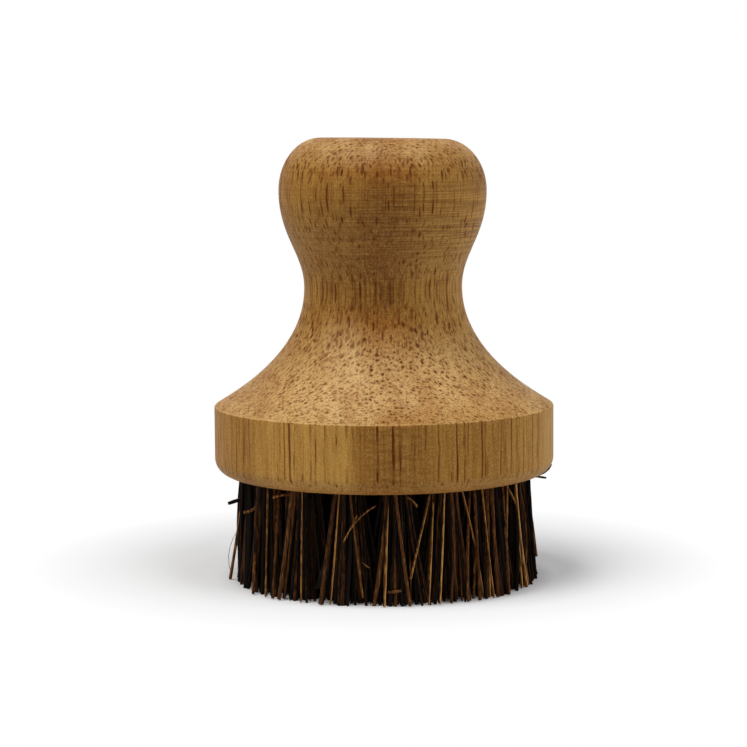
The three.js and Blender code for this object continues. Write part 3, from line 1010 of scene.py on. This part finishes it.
def patch_layers(tree, wood):
    """Rosy and pale patches on the end grain, an amber steep heart, and the dark end of each year's ring."""
    late = span(tree, wood.rings["Phase"], 0.35, 1.0, 0.0, 0.3)
    return [
        (product(tree, span(tree, wood.patches, 0.5, 0.65, 0.0, 0.5), wood.cut_across), WOOD_ROSE),
        (product(tree, span(tree, wood.patches, 0.5, 0.35, 0.0, 0.5), wood.cut_across), WOOD_PALE),
        (product(tree, wood.steep, wood.heart, 0.35), WOOD_AMBER),
        (product(tree, late, wood.rings["Shade"]), WOOD_RED),
    ]


# %% [markdown]
# ## Fine grain and tool marks
# Close to, the wood is a mesh of fine light and dark fibres, boldest at the waist. The lathe tool has left
# rings round the knob, which are strongest on its right, and fainter ones on the crown.

# %% Measures of the marks
WAIST_STRIPE = (WAIST_HEIGHT, 3.0 * MM, 7.5 * MM)
TOOLED_STRIPE = (79.5 * MM, 4.0 * MM, 9.0 * MM)
TOOLED_RISE = (WAIST_HEIGHT - 4 * MM, WAIST_HEIGHT + 4 * MM)
TOOLED_ACROSS = (-16.0 * MM, 12.0 * MM)
CROWN_LINES_RISE = (TOP - 10 * MM, TOP - 6 * MM)
CROWN_LINES_LEAN = (0.95, 0.75)


# %% Fine grain
def fibre_layers(tree, wood):
    """Dark and pale fibres, bolder ones at the waist, a grit of cut fibre ends, and a ripple in the heart."""
    at_waist = stripe(tree, wood.height, *WAIST_STRIPE, 1.0)
    grit = span(tree, wood.cut_across, 0.0, 1.0, 0.5, 1.0)
    upright = product(tree, wood.heart, span(tree, wood.slanted, 0.0, 1.0, 1.0, 0.3))
    return [
        (span(tree, wood.fine, 0.5, 0.75, 0.0, 0.36), VESSEL_BROWN),
        (span(tree, wood.fine, 0.5, 0.3, 0.0, 0.28), WOOD_SAP),
        (product(tree, at_waist, span(tree, wood.fine, 0.54, 0.66, 0.0, 0.5)), VESSEL_BROWN),
        (product(tree, at_waist, span(tree, wood.fine, 0.52, 0.38, 0.0, 0.3)), WOOD_SAP),
        (product(tree, grit, span(tree, wood.speckle, 0.5, 0.65, 0.0, 0.42)), WOOD_RED),
        (product(tree, grit, span(tree, wood.speckle, 0.5, 0.35, 0.0, 0.45)), WOOD_GRIT_AND_HIGHLIGHT),
        (product(tree, upright, span(tree, wood.ripple, 0.45, 0.65, 0.0, 0.4)), VESSEL_BROWN),
    ]


def tool_layers(tree, wood):
    """Rings left by the turning tool: noise that changes quickly with height, on the knob and the crown."""
    on_knob = product(
        tree,
        stripe(tree, wood.height, *TOOLED_STRIPE, 1.0, 0.35),
        span(tree, wood.height, *TOOLED_RISE),
        span(tree, wood.across, *TOOLED_ACROSS, 0.4, 1.0),
    )
    on_crown = span(tree, wood.height, *CROWN_LINES_RISE, 0.0, 0.45)
    on_crown = product(tree, on_crown, span(tree, wood.up, *CROWN_LINES_LEAN))
    wood.lines = math_node(tree, "MAXIMUM", on_knob, on_crown)
    return [
        (product(tree, wood.lines, span(tree, wood.turning, 0.45, 0.62, 0.0, 0.38)), VESSEL_BROWN),
        (product(tree, wood.lines, span(tree, wood.turning, 0.5, 0.34, 0.0, 0.42)), WOOD_SAP),
    ]


# %% [markdown]
# ## Open vessels
# The vessels are cut lengthwise on the band and across on the flare, where they look like dots. Four sizes
# of the same group give the mix: large and slim ones everywhere, long ones on the steep flare, and short
# flecks in the heart of the band.

# %% Vessel sizes
LARGE_CELL = (1.3 * MM, 0.75 * MM, 8.5 * MM)
SLIM_CELL = (0.9 * MM, 0.6 * MM, 5.0 * MM)
LONG_CELL = (0.9 * MM, 1.6 * MM, 8.5 * MM)
FLECK_CELL = (1.6 * MM, 1.2 * MM, 3.0 * MM)
LARGE_WIDTHS = (0.16, 0.22)
SLIM_WIDTHS = (0.16, 0.20)
LONG_WIDTH = 0.26
FLECK_WIDTH = 0.13
COARSE_MORE = 0.07
SLIM_PLACE = 7.3
LONG_PLACE = 3.1
FLECK_PLACE = 11.7
BAND_RISE = (ARRIS_HEIGHT + 5 * MM, ARRIS_HEIGHT + 8 * MM)
SHELTERED = (-0.3, -0.6)
HIGHLIGHT_ACROSS = (-10.0 * MM, 10.0 * MM)


# %% Vessels of the wood
def vessel_layers(tree, wood):
    """Stained halos and open tubes, wider where a face slants and in the band's heart, then the arris.

    The arris gets a painted highlight, a pale line stronger on the left. The tubes' mask is kept, because
    the tubes are also rougher and lower than the wood round them.
    """
    on_band = span(tree, wood.height, *BAND_RISE, 0.88, 1.0)
    smaller = product(tree, span(tree, wood.height, *KNOB_TO_CROWN, 1.0, 0.86), on_band)
    low_heart = product(tree, wood.heart, span(tree, wood.height, *BAND_RISE, COARSE_MORE, 0.0))
    coarse = product(tree, low_heart, math_node(tree, "SUBTRACT", 1.0, wood.slanted))
    wide = product(tree, smaller, span(tree, wood.slanted, 0.0, 1.0, *LARGE_WIDTHS))
    wide = math_node(tree, "ADD", wide, coarse)
    narrow = product(tree, smaller, span(tree, wood.slanted, 0.0, 1.0, *SLIM_WIDTHS))
    large = use_group(tree, VESSELS, wood.uneven, Cell=LARGE_CELL, Width=wide)
    slim = use_group(tree, VESSELS, wood.uneven, Cell=SLIM_CELL, Width=narrow, Offset=SLIM_PLACE)
    long = use_group(tree, VESSELS, wood.uneven, Cell=LONG_CELL, Width=LONG_WIDTH, Offset=LONG_PLACE)
    flecks = use_group(tree, VESSELS, wood.uneven, Cell=FLECK_CELL, Width=FLECK_WIDTH, Offset=FLECK_PLACE)
    porous = span(tree, wood.rings["Phase"], 0.0, 0.8, 1.0, 0.6)
    halo = math_node(tree, "MAXIMUM", large["Halo"], product(tree, slim["Halo"], 0.6))
    halo = product(tree, halo, porous, span(tree, wood.cut_across, 0.0, 1.0, 0.5, 0.7))
    dark = math_node(tree, "MAXIMUM", large["Mask"], product(tree, slim["Mask"], 0.85))
    dark = math_node(tree, "MAXIMUM", dark, product(tree, long["Mask"], wood.steep))
    # The vessels fade in the painted sheen.
    dark = product(tree, dark, porous, span(tree, wood.gleam, 0.0, GLEAM_MOST, 1.0, 0.65))
    dark = math_node(tree, "MAXIMUM", dark, product(tree, flecks["Mask"], span(tree, coarse, 0.01, 0.04)))
    wood.dark = product(tree, dark, span(tree, wood.up, *SHELTERED, 1.0, 0.4))
    # The pale line on the arris is a painted highlight, stronger on the left and fainter on the right.
    painted_highlight = add_node(tree, "ShaderNodeAttribute", attribute_name="arris").outputs["Fac"]
    painted_highlight = product(tree, painted_highlight, span(tree, wood.across, *HIGHLIGHT_ACROSS, 0.55, 0.2))
    return [(halo, WOOD_RED), (product(tree, wood.dark, 0.95), VESSEL_BROWN), (painted_highlight, WOOD_GRIT_AND_HIGHLIGHT)]


# %% [markdown]
# ## The wood's finish
# The layers go on from the broadest to the finest, as the eye meets them from far to near. Oil leaves the
# wood satin and the vessels rougher, and a bump lowers the vessels and raises the tool's rings.

# %% Wood finish
OIL_ROUGHNESS = (0.48, 0.56)
OIL_SHINE = 0.08
VESSEL_ROUGHNESS = 0.3
BUMP_STRENGTH = 0.35
BUMP_DEPTH = 0.25 * MM


def wood_material():
    """Layers of colour over tan wood, with roughness and bump from the same fibres and vessels."""
    material, tree, shader = start_material("oiled_hardwood")
    wood = wood_fields(tree)
    mark_leans(tree, wood)
    colour = WOOD_TAN
    for layers in (
        plank_layers,
        end_grain_layers,
        crown_shade_layers,
        overhang_light_layers,
        patch_layers,
        fibre_layers,
        tool_layers,
        vessel_layers,
    ):
        colour = painted(tree, colour, layers(tree, wood))
    link(tree, colour, shader.inputs["Base Color"])
    oiled = span(tree, wood.fine, 0.3, 0.7, *OIL_ROUGHNESS)
    rough = math_node(tree, "ADD", oiled, product(tree, wood.dark, VESSEL_ROUGHNESS))
    link(tree, rough, shader.inputs["Roughness"])
    shader.inputs["Specular IOR Level"].default_value = OIL_SHINE
    relief = math_node(tree, "SUBTRACT", product(tree, wood.turning, wood.lines), wood.dark)
    bump = add_node(tree, "ShaderNodeBump", Strength=BUMP_STRENGTH, Distance=BUMP_DEPTH)
    link(tree, relief, bump.inputs["Height"])
    link(tree, bump.outputs["Normal"], shader.inputs["Normal"])
    return material


handle.data.materials.append(wood_material())
print("wood:", len(handle.data.materials[0].node_tree.nodes), "nodes")

# %% [markdown]
# ## Palm fibre
# Split palm fibre is stiff and nearly black, with a dull shine. Some strands still carry brown or golden
# skin. A texture can't know where one strand ends, so the tone is drawn strand by strand and stored on the
# mesh, and fine streaks run along it.

# %% Fibre finish
FIBRE_BLACK = (0.0055, 0.003, 0.0018)
FIBRE_BROWN = (0.135, 0.050, 0.014)
FIBRE_GOLD = (0.76, 0.38, 0.10)
FIBRE_STREAKS = (0.3 * MM, 4.0 * MM, 2.0)
FIBRE_ROUGHNESS = (0.40, 0.58)
FIBRE_SHINE = 0.05
FIBRE_BUMP = 0.1 * MM


def fibre_material():
    """Black, brown or gold by the strand's tone, streaked, lifted on the skin side as a painted highlight."""
    material, tree, shader = start_material("palm_fibre")
    tone = add_node(tree, "ShaderNodeAttribute", attribute_name="tone").outputs["Fac"]
    place = add_node(tree, "ShaderNodeTexCoord").outputs["Object"]
    streaks = streaks_of(tree, place, *FIBRE_STREAKS)
    skin = add_node(tree, "ShaderNodeAttribute", attribute_name="skin").outputs["Fac"]
    shifted = math_node(tree, "ADD", tone, span(tree, streaks, 0.3, 0.7, -0.26, 0.14))
    # A painted highlight: the skin side of brown and golden strands is lifted towards gold.
    skin_highlight = math_node(tree, "MULTIPLY", skin, span(tree, tone, 0.4, 0.8, 0.0, 0.5))
    shifted = math_node(tree, "ADD", shifted, skin_highlight)
    colour = mix_colour(tree, span(tree, shifted, 0.48, 0.84), FIBRE_BLACK, FIBRE_BROWN)
    colour = mix_colour(tree, span(tree, shifted, 0.85, 1.2), colour, FIBRE_GOLD)
    link(tree, colour, shader.inputs["Base Color"])
    link(tree, span(tree, streaks, 0.3, 0.7, *FIBRE_ROUGHNESS), shader.inputs["Roughness"])
    shader.inputs["Specular IOR Level"].default_value = FIBRE_SHINE
    bump = add_node(tree, "ShaderNodeBump", Strength=0.4, Distance=FIBRE_BUMP)
    link(tree, streaks, bump.inputs["Height"])
    link(tree, bump.outputs["Normal"], shader.inputs["Normal"])
    return material


palm_fibre = fibre_material()
for piece in fibre_pieces:
    piece.data.materials.append(palm_fibre)
print("fibre pieces:", len(fibre_pieces))

# %% [markdown]
# ## Staple wire
# The staples sit deep in the holes and keep their own solids. Drawn wire is bright and streaked along its
# length by the die.

# %% Wire finish
WIRE_DARK = (0.42, 0.42, 0.43)
WIRE_BRIGHT = (0.7, 0.7, 0.71)
WIRE_STREAKS = (0.1 * MM, 4.0 * MM, 2.0)
WIRE_ROUGHNESS = (0.25, 0.45)


def wire_material():
    """Metal between a dark and a bright grey, by streaks along the wire."""
    material, tree, shader = start_material("drawn_wire")
    place = add_node(tree, "ShaderNodeTexCoord").outputs["Object"]
    streaks = streaks_of(tree, place, *WIRE_STREAKS)
    link(tree, mix_colour(tree, streaks, WIRE_DARK, WIRE_BRIGHT), shader.inputs["Base Color"])
    link(tree, span(tree, streaks, 0.3, 0.7, *WIRE_ROUGHNESS), shader.inputs["Roughness"])
    shader.inputs["Metallic"].default_value = 1.0
    return material


drawn_wire = wire_material()
staples = [node for name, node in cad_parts.items() if "staple" in name]
for staple in staples:
    staple.data.materials.clear()
    staple.data.materials.append(drawn_wire)
print("staples:", len(staples))

# %% [markdown]
# ## Stage, light and camera
# The brush stands on a white seamless sweep. Six softboxes stand round it: two on the left, one low on the
# right, two high up and one for fill. They make the sides brighter than the front, with a soft shadow to
# each side. The floor and the world look white to the camera by their own colour, so no extra light falls
# on the brush.

# %% Floor
FLOOR_HALF = 12.0
FLOOR_GREY = 0.9
FLOOR_GLOW = 0.24
SHADOW_MIDDLE = (-2.0 * MM, 20.0 * MM, 0.0)
SHADOW_EDGE = (46.0 * MM, 79.0 * MM)
TIPS_EDGE = (TIP_REACH - 2 * MM, TIP_REACH + 5 * MM)


def seen_directly(tree):
    """1 for what the camera sees, also in a mirror or through glass, and 0 for light that bounces."""
    rays = add_node(tree, "ShaderNodeLightPath")
    seen = math_node(tree, "MAXIMUM", rays.outputs["Is Camera Ray"], rays.outputs["Is Glossy Ray"])
    return math_node(tree, "MAXIMUM", seen, rays.outputs["Is Transmission Ray"])


def floor_material():
    """A matt floor that turns to plain white, for the eye only, away from the brush's shadow.

    From below it is clear, so that the ends of the fibres can be looked at.
    """
    material, tree, shader = start_material("white_sweep")
    shader.inputs["Base Color"].default_value = (FLOOR_GREY, FLOOR_GREY, FLOOR_GREY, 1)
    shader.inputs["Roughness"].default_value = 0.9
    shader.inputs["Specular IOR Level"].default_value = 0.0
    place = add_node(tree, "ShaderNodeTexCoord").outputs["Object"]
    reach = add_node(tree, "ShaderNodeVectorMath", operation="DISTANCE")
    link(tree, place, reach.inputs[0])
    reach.inputs[1].default_value = SHADOW_MIDDLE
    away = span(tree, reach.outputs["Value"], *SHADOW_EDGE, FLOOR_GLOW, 1.0)
    from_axis = add_node(tree, "ShaderNodeVectorMath", operation="LENGTH")
    link(tree, place, from_axis.inputs[0])
    away = product(tree, away, span(tree, from_axis.outputs["Value"], *TIPS_EDGE))
    white = add_node(tree, "ShaderNodeEmission", Color=(1, 1, 1, 1), Strength=1.0)
    both = add_node(tree, "ShaderNodeMixShader")
    link(tree, math_node(tree, "MULTIPLY", away, seen_directly(tree)), both.inputs[0])
    link(tree, shader.outputs[0], both.inputs[1])
    link(tree, white.outputs[0], both.inputs[2])
    below = add_node(tree, "ShaderNodeNewGeometry").outputs["Backfacing"]
    clear = add_node(tree, "ShaderNodeBsdfTransparent")
    sides = add_node(tree, "ShaderNodeMixShader")
    link(tree, below, sides.inputs[0])
    link(tree, both.outputs[0], sides.inputs[1])
    link(tree, clear.outputs[0], sides.inputs[2])
    link(tree, sides.outputs[0], tree.nodes["Material Output"].inputs["Surface"])
    return material


floor_mesh = bpy.data.meshes.new("floor")
corners = FLOOR_HALF * np.array([[-1, -1, 0], [1, -1, 0], [1, 1, 0], [-1, 1, 0]])
floor_mesh.from_pydata(corners.tolist(), [], [[0, 1, 2, 3]])
floor_mesh.materials.append(floor_material())
floor = bpy.data.objects.new("floor", floor_mesh)
bpy.context.collection.objects.link(floor)
print("floor:", 2 * FLOOR_HALF, "m wide")

# %% World
WORLD_FILL = 0.01
world = bpy.data.worlds.new("studio")
world.use_nodes = True
bpy.context.scene.world = world
sky = world.node_tree
background = sky.nodes["Background"]
background.inputs["Color"].default_value = (1, 1, 1, 1)
sky_seen = seen_directly(sky)
fill = math_node(sky, "MULTIPLY", math_node(sky, "SUBTRACT", 1.0, sky_seen), WORLD_FILL)
link(sky, math_node(sky, "ADD", sky_seen, fill), background.inputs["Strength"])
print("world fill:", WORLD_FILL)


# %% Lights
WHITE = (1.0, 1.0, 1.0)
COOL_WHITE = (0.94, 1.0, 1.2)
LAMP_DISTANCE = 0.9
WIDE = 0.5
NARROW = 0.35


def softbox(name, azimuth, elevation, size, power, colour=WHITE):
    """A square area light, facing the brush's middle from an angle round it and a height. 0 is the front."""
    light = bpy.data.lights.new(name, "AREA")
    light.shape = "SQUARE"
    light.size = size
    light.energy = power
    light.color = colour
    lamp = bpy.data.objects.new(name, light)
    bpy.context.collection.objects.link(lamp)
    a, e = math.radians(azimuth), math.radians(elevation)
    back = Vector((math.sin(a) * math.cos(e), -math.cos(a) * math.cos(e), math.sin(e)))
    target = Vector((0, 0, (UNDERSIDE + TOP) / 2))
    lamp.location = target + back * LAMP_DISTANCE
    lamp.rotation_mode = "QUATERNION"
    lamp.rotation_quaternion = (-back).to_track_quat("-Z", "Y")
    print(name, power, "W")


softbox("left_softbox", -66, 45, WIDE, 1.1)
softbox("low_left_softbox", -75, 12, WIDE, 0.44)
softbox("right_softbox", 80, 14, WIDE, 1.5, COOL_WHITE)
softbox("top_left_softbox", -60, 72, NARROW, 4.7)
softbox("top_right_softbox", 60, 72, NARROW, 1.45)
softbox("fill_softbox", 35, 35, WIDE, 0.7)

# %% Camera
CAMERA_DISTANCE = 519.8 * MM
CAMERA_HEIGHT = 101.6 * MM
CAMERA_SIDE = -2.25 * MM
CAMERA_PITCH = 0.1078
CAMERA_ROLL = math.radians(0.38)
LENS = 113.8
SENSOR = 36.0
CLIP_RANGE = (0.01, 20.0)
camera = bpy.data.objects.new("camera", bpy.data.cameras.new("camera"))
camera.data.lens = LENS
camera.data.sensor_width = SENSOR
camera.data.clip_start, camera.data.clip_end = CLIP_RANGE
bpy.context.collection.objects.link(camera)
aim = Matrix.Rotation(math.pi / 2 - CAMERA_PITCH, 4, "X") @ Matrix.Rotation(-CAMERA_ROLL, 4, "Z")
camera.matrix_world = Matrix.Translation((CAMERA_SIDE, -CAMERA_DISTANCE, CAMERA_HEIGHT)) @ aim
bpy.context.scene.camera = camera
bpy.context.scene.view_settings.view_transform = "Standard"
print("lens:", LENS, "mm")
